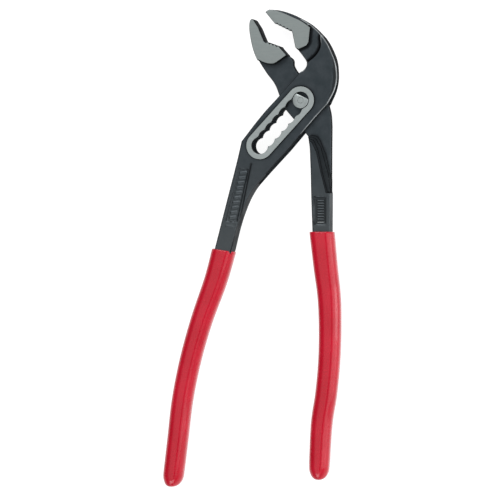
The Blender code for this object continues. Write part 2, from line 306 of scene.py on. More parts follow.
# ---- lines where a lever's face changes its level ----
UPPER_PLATEAU = (corner((-6.0, 33.4), (-3.0, 32.9), (-1.1, 32.1), (3.8, 34.2), (5.1, 36.3), (6.1, 45.4))
                 + smooth((0.6, 49.3), (-4.2, 51.7), (-13.5, 55.7))
                 + corner((-21.0, 58.0), (-40.0, 70.0), (-30.0, 40.0)))
VALLEY = (corner((-8.0, 40.0), (5.6, 47.0), (9.0, 62.0), (18.0, 52.0), (14.5, 44.0))
          + smooth((12.6, 40.0), (12.7, 34.2), (10.7, 29.5)) + corner((4.0, 23.4), (-1.0, 21.0)))
LEFT_PANEL = corner((-40.2, -42.2), (-33.4, -42.8), (-40.8, -76.2), (-48.6, -75.4))
LEFT_BAR = corner((-48.4, -77.6), (-42.6, -78.5), (-42.9, -80.0), (-48.7, -79.1))
LEFT_RIDGE = ((-32.0, -39.6), (-36.0, -59.0), (-39.7, -77.0), (-44.3, -91.5), (-46.6, -100.0))
LOWER_PLATEAU = (corner((-40.0, 19.0), (-27.0, 25.8)) + smooth((-23.2, 24.0), (-17.8, 23.2))
                 + corner((-15.6, 24.0), (-8.6, 28.7), (6.0, 40.0), (-10.0, 70.0), (-50.0, 60.0)))
HANDLE_END = corner((30.0, -57.8), (30.0, -100.0), (-10.0, -100.0), (-10.0, -26.0))
HANDLE_STEPS = (
    (2.95, corner((4.0, -22.9), (6.4, -21.6)) + smooth((9.6, -22.4))
     + corner((12.0, -25.2), (15.5, -33.7), (18.0, -44.7), (20.0, -56.0)) + HANDLE_END),
    (3.5, corner((4.0, -23.9), (6.3, -22.9)) + smooth((8.9, -23.8))
     + corner((10.8, -26.8), (12.4, -29.0), (17.4, -46.8), (18.6, -57.0)) + HANDLE_END),
    (4.05, corner((4.0, -25.0), (6.2, -24.2)) + smooth((7.9, -25.0))
     + corner((9.0, -27.2), (10.8, -31.1), (13.6, -44.7), (16.9, -57.6)) + HANDLE_END),
    (4.5, corner((4.0, -26.2), (5.9, -25.6)) + smooth((7.0, -26.4))
     + corner((7.9, -28.4), (9.9, -32.5), (12.8, -45.5), (16.0, -57.8)) + HANDLE_END))
RIGHT_PANEL = corner((8.2, -60.2), (15.6, -60.2), (15.6, -77.6), (8.2, -77.6))
PASSAGE = [slot_point(*point) for point in (
    (-57, 30), (12.4, 30), (13.2, 11), (19.3, 0), (24, -18), (24, -40), (-57, -40))]


# ---- measuring in the plane ----

def segments_of(loop, closed=True):
    starts = np.asarray(loop, float)
    ends = np.roll(starts, -1, axis=0)
    return (starts, ends) if closed else (starts[:-1], ends[:-1])


def distance_to(points, loop, closed=True):
    """Each point's distance to a line, in chunks that fit in memory."""
    starts, ends = segments_of(loop, closed)
    ways = ends - starts
    squares = np.maximum((ways ** 2).sum(1), 1e-12)
    result = np.empty(len(points))
    for first in range(0, len(points), 2000):
        part = points[first:first + 2000, None, :]
        share = np.clip(((part - starts) * ways).sum(2) / squares, 0, 1)
        nearest = starts + share[:, :, None] * ways
        result[first:first + 2000] = np.sqrt(((part - nearest) ** 2).sum(2).min(1))
    return result


def is_inside(points, loop):
    """Even-odd test of each point against a closed line."""
    starts, ends = segments_of(loop)
    result = np.zeros(len(points), bool)
    x, y = points[:, 0], points[:, 1]
    for (x0, y0), (x1, y1) in zip(starts, ends):
        if y0 == y1:
            continue
        crosses = (y0 > y) != (y1 > y)
        result ^= crosses & (x < (x1 - x0) * (y - y0) / (y1 - y0) + x0)
    return result


def signed_distance(points, loop):
    """Distance to a closed line, positive inside."""
    return np.where(is_inside(points, loop), 1.0, -1.0) * distance_to(points, loop)


def ramp(value, low, high):
    share = np.clip((value - low) / (high - low), 0, 1)
    return share * share * (3 - 2 * share)


def rounding(depth, radius):
    """How far a quarter-round edge lies below the face, at each point's depth in from it."""
    share = np.clip(1 - depth / radius, 0, 1)
    return radius * (1 - np.sqrt(1 - share ** 2))


# ---- reliefs ----

def offset_line(loop, depth):
    """A closed line's points moved sideways, inwards where depth is positive."""
    loop = np.asarray(loop, float)
    ahead = np.roll(loop, -1, axis=0) - loop
    ahead /= np.maximum(np.linalg.norm(ahead, axis=1, keepdims=True), 1e-9)
    behind = np.roll(ahead, 1, axis=0)
    normal = np.stack([-(ahead + behind)[:, 1], (ahead + behind)[:, 0]], axis=1)
    normal /= np.maximum(np.linalg.norm(normal, axis=1, keepdims=True), 1e-9)
    x, y = loop[:, 0], loop[:, 1]
    area = (x * np.roll(y, -1) - np.roll(x, -1) * y).sum()
    return loop + normal * depth * (1 if area > 0 else -1)


def band(line, half_width):
    """A closed loop round an open line, at half_width to both sides of it."""
    knots = [Vector(point) for point in line]
    points = []
    for start, end in zip(knots, knots[1:]):
        count = math.ceil((end - start).length / EDGE_SPACING)
        points.extend(start.lerp(end, step / count) for step in range(count))
    points = np.array([tuple(point) for point in points + [knots[-1]]])
    way = np.gradient(points, axis=0)
    way /= np.linalg.norm(way, axis=1, keepdims=True)
    side = np.stack([-way[:, 1], way[:, 0]], axis=1) * half_width
    return np.concatenate([points + side, (points - side)[::-1]])


def inside_face(points, outline, hole):
    return is_inside(points, outline) & ~is_inside(points, hole)


def clearance(points, outline, hole):
    """Each point's distance to the nearer of a face's two borders."""
    return np.minimum(distance_to(points, outline), distance_to(points, hole))


def fine_grid(loop):
    """Grid points inside a closed line, for the small shapes in it."""
    low, high = loop.min(0), loop.max(0)
    across, up = np.meshgrid(*(np.arange(low[axis], high[axis], FINE_SPACING) for axis in (0, 1)))
    grid = np.column_stack([across.ravel(), up.ravel()])
    return grid[signed_distance(grid, loop) > FINE_SPACING / 2]


def sample_points(outline, hole, features, panel):
    """Points inside a face: rows along its borders, a grid, and a finer grid in its panel."""
    rows = [(offset_line(outline, depth), depth) for depth in EDGE_DEPTHS]
    rows += [(offset_line(hole, -depth), depth) for depth in HOLE_DEPTHS]
    rings = np.concatenate([row for row, _ in rows])
    wanted = np.concatenate([np.full(len(row), depth) for row, depth in rows])
    clear = clearance(rings, outline, hole) > wanted * 0.92
    rings = rings[clear & inside_face(rings, outline, hole)]
    low, high = outline.min(0), outline.max(0)
    across = np.arange(low[0], high[0], GRID_SPACING)
    up = np.arange(low[1], high[1], GRID_SPACING * 0.866)
    grid = np.array([(x + (row % 2) * GRID_SPACING / 2, y) for row, y in enumerate(up) for x in across])
    clear = clearance(grid, outline, hole) > EDGE_DEPTHS[-1] + GRID_SPACING / 3
    grid = grid[clear & inside_face(grid, outline, hole)]
    grid = grid[~is_inside(grid, panel)]
    for line in features:
        grid = grid[distance_to(grid, line) > GRID_SPACING / 3]
    return np.concatenate([rings, grid, fine_grid(panel)])


def fill_face(outline, hole, features, loose):
    """Triangles that fill a face and have edges along all its lines."""
    points, edges = [], []
    for line in [outline, hole] + features:
        first = len(points)
        points.extend(map(tuple, line))
        count = len(line)
        edges.extend((first + step, first + (step + 1) % count) for step in range(count))
    points.extend(map(tuple, loose))
    result = delaunay_2d_cdt([Vector(point) for point in points], edges, [], 0, 1e-5)
    flat = np.array([tuple(point) for point in result[0]])
    triangles = np.array([face for face in result[2] if len(face) == 3])
    centres = flat[triangles].mean(1)
    return flat, triangles[inside_face(centres, outline, hole)]


def used_points(flat, triangles):
    """Only the points that the triangles use, and the triangles numbered to match."""
    used = np.unique(triangles)
    index = np.full(len(flat), -1)
    index[used] = np.arange(len(used))
    return flat[used], index[triangles]


def closed_mesh(name, front, rear, triangles):
    """A closed mesh between two faces that have the same triangles."""
    count = len(front)
    edges = np.concatenate([triangles[:, [0, 1]], triangles[:, [1, 2]], triangles[:, [2, 0]]])
    keys = np.sort(edges, axis=1)
    _, where, times = np.unique(keys, axis=0, return_inverse=True, return_counts=True)
    border = edges[times[where.reshape(-1)] == 1]
    faces = [tuple(face) for face in triangles]
    faces += [tuple(face[::-1] + count) for face in triangles]
    faces += [(b, a, a + count, b + count) for a, b in border]
    points = np.concatenate([front, rear]) * MM
    mesh = bpy.data.meshes.new(name)
    mesh.from_pydata(points.tolist(), [], [list(map(int, face)) for face in faces])
    return mesh


def relief_mesh(name, flat, triangles, height):
    """A closed mesh with the same relief on its front and rear faces."""
    flat, triangles = used_points(flat, triangles)
    level, painted_shade, painted_highlight = height(flat)
    front = np.column_stack([flat, MIDDLE + level])
    rear = np.column_stack([flat, MIDDLE - level])
    mesh = closed_mesh(name, front, rear, triangles)
    # the painted shade and the painted highlights go with the mesh as values at its points
    for label, values in (("painted_shade", painted_shade), ("painted_highlight", painted_highlight)):
        layer = mesh.attributes.new(label, "FLOAT", "POINT")
        layer.data.foreach_set("value", np.concatenate([values, values]))
    return finish_mesh(mesh)


def finish_mesh(mesh):
    """Weld, face outwards, and shade smooth with creases at sharp edges."""
    work = bmesh.new()
    work.from_mesh(mesh)
    bmesh.ops.remove_doubles(work, verts=work.verts, dist=1e-7)
    bmesh.ops.recalc_face_normals(work, faces=work.faces)
    work.to_mesh(mesh)
    work.free()
    mesh.shade_smooth()
    mesh.set_sharp_from_angle(angle=CREASE_ANGLE)
    return mesh


def new_piece(name, mesh, *materials):
    item = bpy.data.objects.new(name, mesh)
    bpy.context.scene.collection.objects.link(item)
    for material in materials:
        mesh.materials.append(material)
    return item


def block(name, outline, half):
    """A plain prism about the middle plane, for cutting."""
    count = len(outline)
    points = [(x * MM, y * MM, (MIDDLE + side * half) * MM) for side in (-1, 1) for x, y in outline]
    faces = [list(range(count))[::-1], list(range(count, 2 * count))]
    faces += [[k, (k + 1) % count, (k + 1) % count + count, k + count] for k in range(count)]
    mesh = bpy.data.meshes.new(name)
    mesh.from_pydata(points, [], faces)
    return new_piece(name, finish_mesh(mesh))


def cut(item, tool):
    """Take one object's shape out of another and leave a plain mesh."""
    step = item.modifiers.new("cut", "BOOLEAN")
    step.operation = "DIFFERENCE"
    step.solver = "EXACT"
    step.object = tool
    evaluated = item.evaluated_get(bpy.context.evaluated_depsgraph_get())
    mesh = bpy.data.meshes.new_from_object(evaluated)
    item.modifiers.clear()
    old = item.data
    item.data = mesh
    bpy.data.meshes.remove(old)
    bpy.data.objects.remove(tool, do_unlink=True)
    item.data.shade_smooth()
    item.data.set_sharp_from_angle(angle=CREASE_ANGLE)


def mark_ground_faces(mesh):
    """Give the faces that a surface grinder reaches their own materials: jaws, and slot ring."""
    for face in mesh.polygons:
        if abs(face.center.z / MM - MIDDLE) > HALF_FULL - 0.02 and abs(face.normal.z) > 0.99:
            face.material_index = 1 if face.center.y / MM > JAWS_FROM_Y else 2


# ---- the two levers ----

EDGE_RADIUS = 0.8
CRISP_RADIUS = 0.28
FACET_SLOPE = 0.2
BEVEL_WIDTH = 2.3
BEVEL_LOW, BEVEL_HIGH = -5.0, 31.0
STEP_WIDTH = 0.16
NECK_MIDDLE_SLOPE, NECK_MIDDLE_AT_PIVOT = 0.3, -22.0
LEFT_TANG_FROM, LEFT_TANG_FULL = 93, 101
RIGHT_TANG_FROM, RIGHT_TANG_FULL = 82.5, 88
LEFT_RIB_PITCH, RIGHT_RIB_PITCH = 3.1, 1.65


def rows_along(line, offsets):
    return [offset_line(line, offset) for offset in offsets]


def raised_bars(points, centres, half_length, half_width, along):
    """Height share of rounded bars in a row; along is the direction of the bars' length."""
    along = np.asarray(along, float) / np.linalg.norm(along)
    across = np.array([-along[1], along[0]])
    result = np.zeros(len(points))
    for centre in centres:
        offset = points - np.asarray(centre)
        beyond = np.maximum(np.abs(offset @ along) - half_length + half_width, 0)
        away = np.hypot(beyond, offset @ across)
        result = np.maximum(result, 1 - ramp(away, half_width * 0.45, half_width))
    return result


def groove(points, line, depth, width):
    """How far a narrow groove along an open line cuts into the face."""
    return depth * np.exp(-(distance_to(points, line, closed=False) / width) ** 2)


def band_below(distance, reach):
    """A band of painted shade, of even width, at the foot of a step."""
    return (1 - ramp(-distance, reach * 0.45, reach)) * (distance < 0.3)


def shade_below(distance, reach):
    """Painted shade at the foot of a step; distance is negative on the lower side."""
    return np.exp(np.minimum(distance, 0) / reach) * (distance < 0.05)


def head_bevel(points, depth):
    """Drop and share of the crescent bevel ground along the head's back."""
    along = np.clip((points[:, 1] - BEVEL_LOW) / (BEVEL_HIGH - BEVEL_LOW), 0, 1)
    width = BEVEL_WIDTH * np.sin(math.pi * along) * (points[:, 0] > 10)
    share = np.clip(1 - depth / np.maximum(width, 0.01), 0, 1)
    return 1.25 * width * share, ramp(share, 0.0, 0.12)


def slotted_height(points, outline, slot, lines):
    """Height of the slotted lever's face above the middle plane, its painted shade and its painted
    highlights.
    """
    depth = distance_to(points, outline)
    level = np.full(len(points), HALF_CHEEK)
    ridge = distance_to(points, LEFT_RIDGE, closed=False)
    right_of_ridge = is_inside(points, list(LEFT_RIDGE) + [(-10, -110), (10, -40)])
    slope = FACET_SLOPE * np.maximum(ridge - 0.4, 0) * ramp(-points[:, 1], 40, 58)
    level -= np.where(right_of_ridge, slope, 0)
    tang = ramp(-points[:, 1], LEFT_TANG_FROM, LEFT_TANG_FULL)
    level = level * (1 - tang) + HALF_TANG * tang
    level -= groove(points, LEFT_RIDGE, 0.3, 0.45) * (1 - tang)
    inside_panel = signed_distance(points, lines["panel"])
    level -= PANEL_DEPTH * ramp(inside_panel, 0.0, 0.8)
    bars = [(-37.1 - 0.24 * step, -45.0 - step) for step in np.arange(0, 30, LEFT_RIB_PITCH)]
    ribs = raised_bars(points, bars, 2.6, 0.85, (1, 0.12))
    bar = ramp(signed_distance(points, lines["bar"]), 0.0, 0.5)
    level += 0.6 * RIB_HEIGHT * ribs + 0.2 * bar
    inside_valley = signed_distance(points, lines["valley"])
    valley = ramp(inside_valley, -0.2, 0.7)
    level = level * (1 - valley) + HALF_VALLEY * valley
    ring = distance_to(points, [slot_point(0, 0), slot_point(-SLOT_TRAVEL, 0)], closed=False)
    level -= 0.3 * np.exp(-np.maximum(ring - RING_RADIUS, 0) / 0.55) * (ring > RING_RADIUS)
    inside_plateau = signed_distance(points, lines["plateau"])
    plateau = ramp(inside_plateau, -STEP_WIDTH / 2, STEP_WIDTH / 2)
    on_ring = 1 - ramp(ring, RING_RADIUS, RING_RADIUS + STEP_WIDTH)
    raised = np.maximum(plateau, on_ring)
    level = level * (1 - raised) + HALF_FULL * raised
    drop, bevelled = head_bevel(points, depth)
    soft = rounding(depth, EDGE_RADIUS) * (1 - raised) + rounding(depth, CRISP_RADIUS) * raised
    level -= np.maximum(soft, drop) + rounding(distance_to(points, slot), 0.2)
    # the second value is painted shade at the foot of steps and in folds, the third is painted highlight
    # on edges
    # painted shade: bands below the plateau's and the valley's edges, round the ring, along the ridge,
    # in the panel and on the head's bevel
    foot = 0.9 - 0.55 * ramp(points[:, 1], 44.5, 47.5)
    painted_shade = np.max([foot * band_below(inside_plateau, 2.6), 0.9 * shade_below(RING_RADIUS - ring, 0.7),
                     band_below(-inside_valley, 2.4), 0.9 * groove(points, LEFT_RIDGE, 1.0, 0.55),
                     0.6 * shade_below(-inside_panel, 0.5), 0.18 * ramp(inside_panel, 0, 1) * (1 - ribs),
                     0.6 * bevelled], axis=0)
    # painted highlights: a thin line along the cheek's lower right edge, a line on the cheek beside the
    # valley's upper end, and a paler strip on the handle's right walls
    edge = np.exp(-((depth - 0.2) / 0.22) ** 2) * ramp(points[:, 1], -40, -10) * (points[:, 0] > 0)
    edge *= depth > 0.02
    right_half = points[:, 0] > NECK_MIDDLE_SLOPE * points[:, 1] + NECK_MIDDLE_AT_PIVOT
    side = 0.16 * (depth < 0.1) * right_half * (points[:, 1] < -46)
    top_line = np.exp(-((inside_valley + 0.4) / 0.3) ** 2) * ramp(points[:, 1], 33, 40)
    return level, painted_shade * (1 - raised), np.max([edge, 0.7 * top_line, side], axis=0) * (1 - raised)


def passing_height(points, outline, lines):
    """Height of the passing lever's face above the middle plane, its painted shade and its painted
    highlights.
    """
    depth = distance_to(points, outline)
    level, below = np.full(len(points), HALF_NECK), HALF_NECK
    painted_shade = np.zeros(len(points))
    for height, loop in lines["steps"]:
        inward = signed_distance(points, loop)
        level += (height - below) * ramp(inward, 0.0, 0.35)
        level -= 0.12 * np.exp(-((inward + 0.15) / 0.25) ** 2)
        # painted shade at the foot of each step
        painted_shade = np.maximum(painted_shade, shade_below(inward - 0.2, 0.6))
        below = height
    # painted shade on the terraces between the first and the last step
    beside = np.clip((level - HALF_NECK) / 0.3, 0, 1) * (1 - ramp(inward, -0.4, 0.0))
    painted_shade = np.maximum(painted_shade, 0.55 * beside * (points[:, 1] > -58))
    tang = ramp(-points[:, 1], RIGHT_TANG_FROM, RIGHT_TANG_FULL)
    level = level * (1 - tang) + (HALF_TANG - 0.1) * tang
    inside_panel = signed_distance(points, lines["panel"])
    level -= PANEL_DEPTH * ramp(inside_panel, 0.0, 0.6)
    bars = [(12.5, -62.8 - step) for step in np.arange(0, 12, RIGHT_RIB_PITCH)] + [(12.5, -76.2)]
    ribs = raised_bars(points, bars, 2.5, 0.58, (1, 0))
    level += RIB_HEIGHT * ribs
    inside_plateau = signed_distance(points, lines["plateau"])
    plateau = ramp(inside_plateau, -0.15, 0.15)
    level = level * (1 - plateau) + HALF_FULL * plateau
    soft_radius = 0.5 + 0.3 * ramp(-points[:, 1], 16, 30)
    soft = np.where(plateau > 0.5, rounding(depth, CRISP_RADIUS), rounding(depth, soft_radius))
    # painted shade below the jaw plateau, at the panel's edge and on its floor between the ribs
    painted_shade = np.max([painted_shade, 0.8 * shade_below(inside_plateau, 1.0),
                     0.8 * shade_below(-inside_panel, 0.4),
                     0.45 * ramp(inside_panel, 0, 1) * (1 - ribs)], axis=0)
    # painted highlights: a strip on the handle's right wall, and the lowest rib
    side = 0.22 * (depth < 0.1) * (points[:, 0] > 15) * (points[:, 1] < -58)
    painted_highlight = np.maximum(0.4 * ribs * (points[:, 1] < -75.5), side)
    return level - soft, painted_shade * (1 - plateau), painted_highlight * (1 - plateau)


def slotted_lever(black, jaw_steel, ring_steel):
    knots = (UPPER_MOUTH + SLOTTED_LEFT_SIDE + tang_loop(LEFT_GRIP, -100.5) + SLOTTED_RIGHT_SIDE
             + HEAD_BACK)
    outline, slot = loop_of(knots), notched_slot()
    lines = {"valley": loop_of(VALLEY), "plateau": loop_of(UPPER_PLATEAU),
             "panel": loop_of(LEFT_PANEL), "bar": loop_of(LEFT_BAR)}
    features = [stadium(RING_RADIUS), stadium(RING_RADIUS + STEP_WIDTH), stadium(RING_RADIUS + 0.7)]
    features += rows_along(lines["plateau"], (-STEP_WIDTH / 2, STEP_WIDTH / 2))
    features += rows_along(lines["valley"], (-0.9, -0.55, -0.25, 0.1, 0.4, 0.75, 1.3))
    features += rows_along(lines["plateau"], (-0.6, -1.3))
    features += [band(LEFT_RIDGE, width) for width in (0.02, 0.35, 0.8)]
    features += rows_along(lines["bar"], (0.0, 0.5))
    loose = sample_points(outline, slot, features, lines["panel"])
    flat, triangles = fill_face(outline, slot, features, loose)
    mesh = relief_mesh("slotted_lever_forging", flat, triangles,
                       lambda points: slotted_height(points, outline, slot, lines))
    item = new_piece("slotted_lever_forging", mesh, black, jaw_steel, ring_steel)
    cut(item, block("passage", PASSAGE, HALF_PASSAGE))
    mark_ground_faces(item.data)
    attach(item, "slotted_lever_body")
    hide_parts("slotted_lever")


def passing_lever(black, jaw_steel):
    knots = (LOWER_MOUTH + PASSING_RIGHT_SIDE
             + list(reversed(tang_loop(RIGHT_GRIP, -88.0))) + PASSING_LEFT_SIDE + PASSING_BACK)
    outline = loop_of(knots)
    lines = {"steps": [(height, loop_of(edge)) for height, edge in HANDLE_STEPS],
             "plateau": loop_of(LOWER_PLATEAU), "panel": loop_of(RIGHT_PANEL)}
    seat, bore = d_shape(STUD_RADIUS + 0.25, STUD_FLAT + 0.25), circle(RIVET_BORE_RADIUS)
    features = rows_along(lines["plateau"], (-1.2, -0.6, -0.15, 0.15)) + [seat, offset_line(seat, 0.05)]
    for _, loop in lines["steps"]:
        features += rows_along(loop, (-0.4, -0.15, 0.0, 0.18, 0.36))
    loose = sample_points(outline, bore, features, lines["panel"])
    flat, triangles = fill_face(outline, bore, features, loose)

    def height(points):
        sunk = ramp(signed_distance(points, seat), 0.0, 0.05)
        level, painted_shade, painted_highlight = passing_height(points, outline, lines)
        return level - sunk, painted_shade, painted_highlight

    mesh = relief_mesh("passing_lever_forging", flat, triangles, height)
    item = new_piece("passing_lever_forging", mesh, black, jaw_steel)
    mark_ground_faces(mesh)
    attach(item, "passing_lever_body")
    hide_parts("passing_lever")


# ---- pivot ----

def studs_and_rivet(ground):
    stud, bore = d_shape(STUD_RADIUS, STUD_FLAT), circle(RIVET_BORE_RADIUS)
    for name, side in (("front_locking_stud", 1), ("rear_locking_stud", -1)):
        item = stud_piece(name + "_turned", stud, bore, side, ground)
        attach(item, "passing_lever_body")
        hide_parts(name)
    item = rivet_piece("pivot_rivet_turned", ground)
    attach(item, "pivot_body")
    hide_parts("pivot_rivet")


def stud_piece(name, outer, bore, side, ground):
    """A D-shaped stud: its outer face has fine chamfers at the edge and round the bore."""
    chamfer_foot = STUD_CHAMFER * 0.3
    features = [offset_line(outer, STUD_CHAMFER), offset_line(outer, chamfer_foot),
                offset_line(bore, -BORE_CHAMFER)]
    flat, triangles = used_points(*fill_face(outer, bore, features, []))
    drop = np.interp(distance_to(flat, outer), [0, chamfer_foot, STUD_CHAMFER],
                     [STUD_CHAMFER, chamfer_foot, 0.0])
    drop += BORE_CHAMFER * (distance_to(flat, bore) < 1e-6)
    outer_face = np.column_stack([flat, MIDDLE + side * (HALF_FULL - drop)])
    inner_face = np.column_stack([flat, np.full(len(flat), MIDDLE + side * STUD_BOTTOM)])
    mesh = closed_mesh(name, outer_face, inner_face, triangles)
    return new_piece(name, finish_mesh(mesh), ground)


def rivet_piece(name, ground):
    """A round rivet whose ends are flat with a small chamfer."""
    profile = [(0.0, HALF_FULL), (0.9, HALF_FULL), (1.5, HALF_FULL),
               (RIVET_RADIUS - 0.06, HALF_FULL), (RIVET_RADIUS, HALF_FULL - 0.06)]
    profile += [(radius, -height) for radius, height in reversed(profile)]
    points, faces = [], []
    for radius, height in profile[1:-1]:
        points += [(x, y, MIDDLE + height) for x, y in circle(radius)]
    last = (len(profile) - 3) * RIVET_STEPS
    for low in range(0, last, RIVET_STEPS):
        high = low + RIVET_STEPS
        for step in range(RIVET_STEPS):
            after = (step + 1) % RIVET_STEPS
            faces.append([low + step, low + after, high + after, high + step])
    for first, height in ((0, HALF_FULL), (last, -HALF_FULL)):
        points.append((0, 0, MIDDLE + height))
        tip = len(points) - 1
        faces += [[first + step, first + (step + 1) % RIVET_STEPS, tip] for step in range(RIVET_STEPS)]
    mesh = bpy.data.meshes.new(name)
    mesh.from_pydata([tuple(value * MM for value in point) for point in points], [], faces)
    return new_piece(name, finish_mesh(mesh), ground)


# ---- grips ----

SECTION_STEPS = 40
GRIP_STEPS = 9
END_LENGTH = 1.3
END_BLUNTNESS = 0.8
END_RINGS = 12
RIM = ((0.0, -0.55), (0.08, -0.3), (0.25, -0.1), (0.6, 0.0), (1.6, 0.0), (3.0, 0.0))


def section(half_width, half_height, radius):
    """A rounded rectangle about the origin, counter-clockwise, as across and up pairs."""
    radius = min(radius, half_width * 0.98, half_height * 0.98)
    points = []
    quarter = SECTION_STEPS // 4
    for index, (east, north) in enumerate(((1, 1), (-1, 1), (-1, -1), (1, -1))):
        centre_x, centre_y = east * (half_width - radius), north * (half_height - radius)
        for turn in np.linspace(index * math.pi / 2, (index + 1) * math.pi / 2, quarter):
            points.append((centre_x + radius * math.cos(turn), centre_y + radius * math.sin(turn)))
    return points


def grip_stations(knots, collar):
    """Places down a grip from its collar: point, sideways direction, half width, distance."""
    left, right = Vector(collar[0]), Vector(collar[1])
    collar_way = (left - right).normalized()
    down = Vector((collar_way.y, -collar_way.x))
    down = -down if down.y > 0 else down
    rows = centreline(knots, GRIP_STEPS)
    depths = [(row.to_2d() - left).dot(down) for row in rows]
    first = next(index for index, depth in enumerate(depths) if depth > 0)
    share = -depths[first - 1] / (depths[first] - depths[first - 1])
    start = rows[first - 1].lerp(rows[first], share)
    tangent = (rows[first] - rows[first - 1]).normalized()
    places = [(start + tangent * gap, gap) for gap, _ in RIM]
    length, before = 0.0, start
    for row in rows[first:]:
        length += (row - before).to_2d().length
        before = row
        if length > RIM[-1][0] + 1.0:
            places.append((row, length))
    stations = []
    for index, (row, length) in enumerate(places):
        ahead = (places[min(index + 1, len(places) - 1)][0] - places[max(index - 1, 0)][0]).to_2d()
        side = Vector((ahead.y, -ahead.x)).normalized()
        side = -side if side.x > 0 else side
        blend = min(max(length - RIM[-1][0], 0) / 14.0, 1.0)
        way = (collar_way * (1 - blend) + side * blend).normalized()
        stations.append((row.to_2d(), way, row.z / 2 / way.dot(side), length))
    return stations


def grip(name, knots, collar, lean, node, body, plastic):
    """A dipped sleeve: rolled rim, rounded bar, round end, and a bore for the tang."""
    stations = grip_stations(knots, collar)
    rings = []
    for (place, side, half, _), (_, grow) in zip(stations, RIM):
        rings.append((place, side, section(half + grow, HALF_FULL + min(grow, 0), COAT_CORNER + grow)))
    end, end_half = stations[-1][0], stations[-1][2]
    way = (end - stations[-2][0]).normalized()
    bar = [row for row in stations[len(RIM):] if (end - row[0]).length > end_half * END_LENGTH]
    rings += [(place, side, section(half, HALF_FULL, COAT_CORNER)) for place, side, half, _ in bar]
    side, start = bar[-1][1], end - way * end_half * END_LENGTH
    for turn in np.linspace(0, math.pi / 2, END_RINGS)[:-1]:
        share, forward = math.cos(turn) ** END_BLUNTNESS, math.sin(turn)
        centre = start + way * end_half * END_LENGTH * forward + side * lean * (1 - share)
        half_height = HALF_FULL * (0.35 + 0.65 * share)
        rings.append((centre, side, section(end_half * share, half_height, COAT_CORNER)))
    points, faces = loft(rings)
    tip = end + side * lean
    points.append((tip.x, tip.y, MIDDLE))
    last = (len(rings) - 1) * SECTION_STEPS
    faces += [[last + step, last + (step + 1) % SECTION_STEPS, len(points) - 1]
              for step in range(SECTION_STEPS)]
    # the bore goes back up inside, from the rim's inner edge to short of the end
    inner = [(place, side, section(half - wall, HALF_FULL - wall * 0.6, 1.6))
             for (place, side, half, _), wall in zip(stations[:1] + stations[3:4], (1.7, 2.2))]
    inner += [(place, side, section(TANG_WIDTH / 2 + 0.3, HALF_TANG + 0.25, 1.6))
              for place, side, _, _ in bar[:-1]]
    inner_points, inner_faces = loft(inner)
    base = len(points)
    points += inner_points
    faces += [[base + index for index in reversed(face)] for face in inner_faces]
    for step in range(SECTION_STEPS):
        after = (step + 1) % SECTION_STEPS
        faces.append([step, base + step, base + after, after])
    far = base + (len(inner) - 1) * SECTION_STEPS
    faces.append([far + step for step in range(SECTION_STEPS)])
    mesh = bpy.data.meshes.new(name)
    mesh.from_pydata([tuple(value * MM for value in point) for point in points], [], faces)
    item = new_piece(name, finish_mesh(mesh), plastic)
    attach(item, body)
    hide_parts(node)


def loft(rings):
    points, faces = [], []
    for place, side, outline in rings:
        for across, up in outline:
            points.append((place.x + side.x * across, place.y + side.y * across, MIDDLE + up))
    for ring in range(len(rings) - 1):
        for step in range(SECTION_STEPS):
            after = (step + 1) % SECTION_STEPS
            low, high = ring * SECTION_STEPS, (ring + 1) * SECTION_STEPS
            faces.append([low + step, low + after, high + after, high + step])
    return points, faces


# ---- materials ----

